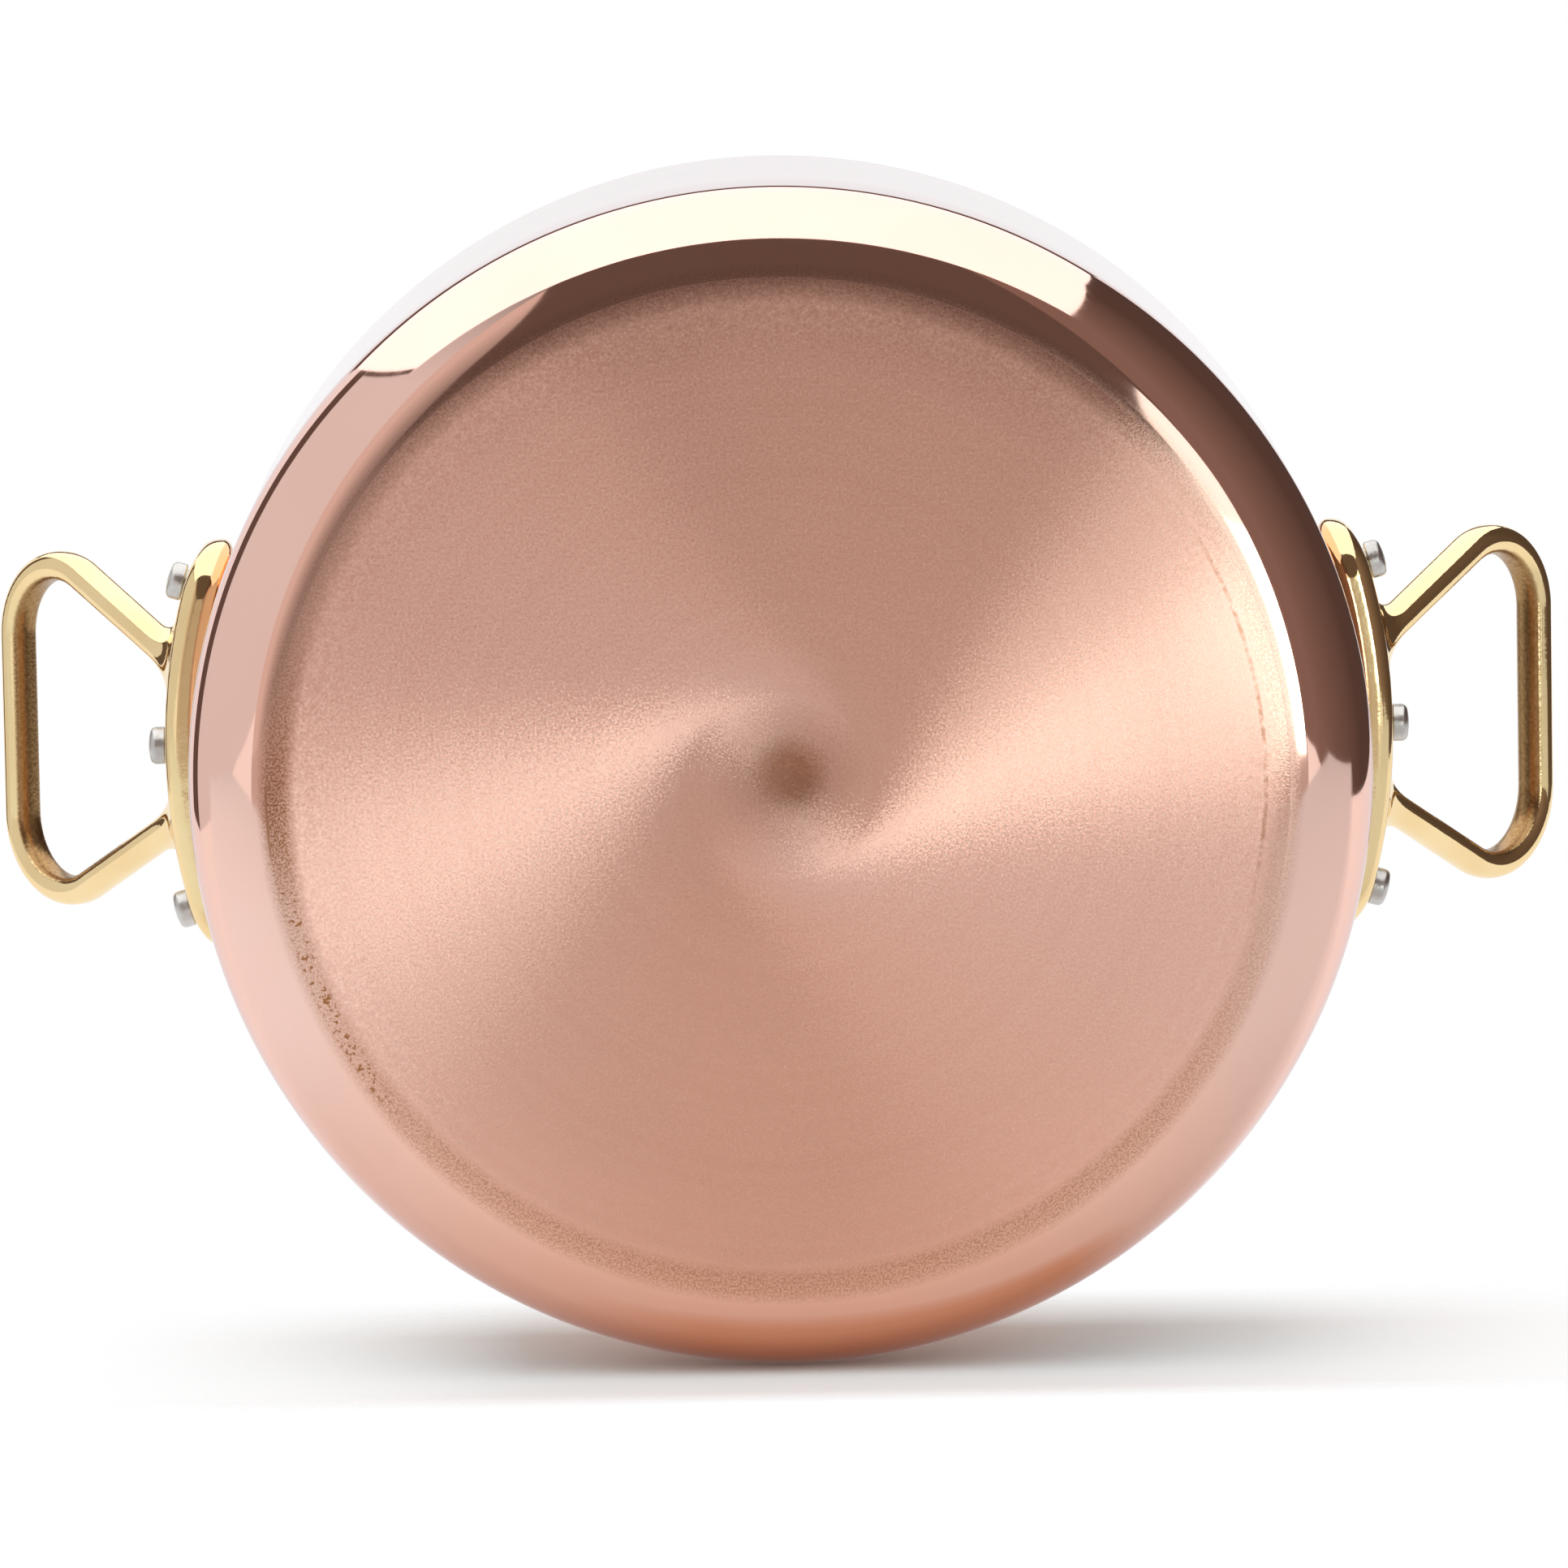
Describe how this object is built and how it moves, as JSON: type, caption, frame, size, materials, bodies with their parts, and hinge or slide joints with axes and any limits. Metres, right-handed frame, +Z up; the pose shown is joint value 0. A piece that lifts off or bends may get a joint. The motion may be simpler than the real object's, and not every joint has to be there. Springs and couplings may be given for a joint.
{
  "type": "two-handled copper saucepan",
  "caption": "Straight-sided copper pan with a bonded steel lining, a matte base disc and cast brass loop handles riveted below the rim, for cooking on a hob.",
  "frame": {"origin": "centre of the base disc's underside, where the pan's axis meets the hob", "axes": "+Z up along the pan's axis, +X towards the right handle, +Y to the back"},
  "size_m": [0.2762, 0.2, 0.125],
  "materials": {
    "copper": "polished copper",
    "lining": "satin",
    "base": "matte, fine grain",
    "brass": "polished",
    "rivet_steel": "satin"
  },
  "bodies": {
    "root": {"copper_shell": "copper", "steel_lining": "lining", "base_layer": "base", "handle_left": "brass", "handle_right": "brass", "rivet_left_front": "rivet_steel", "rivet_left_middle": "rivet_steel", "rivet_left_back": "rivet_steel", "rivet_right_front": "rivet_steel", "rivet_right_middle": "rivet_steel", "rivet_right_back": "rivet_steel"}
  },
  "joints": []
}
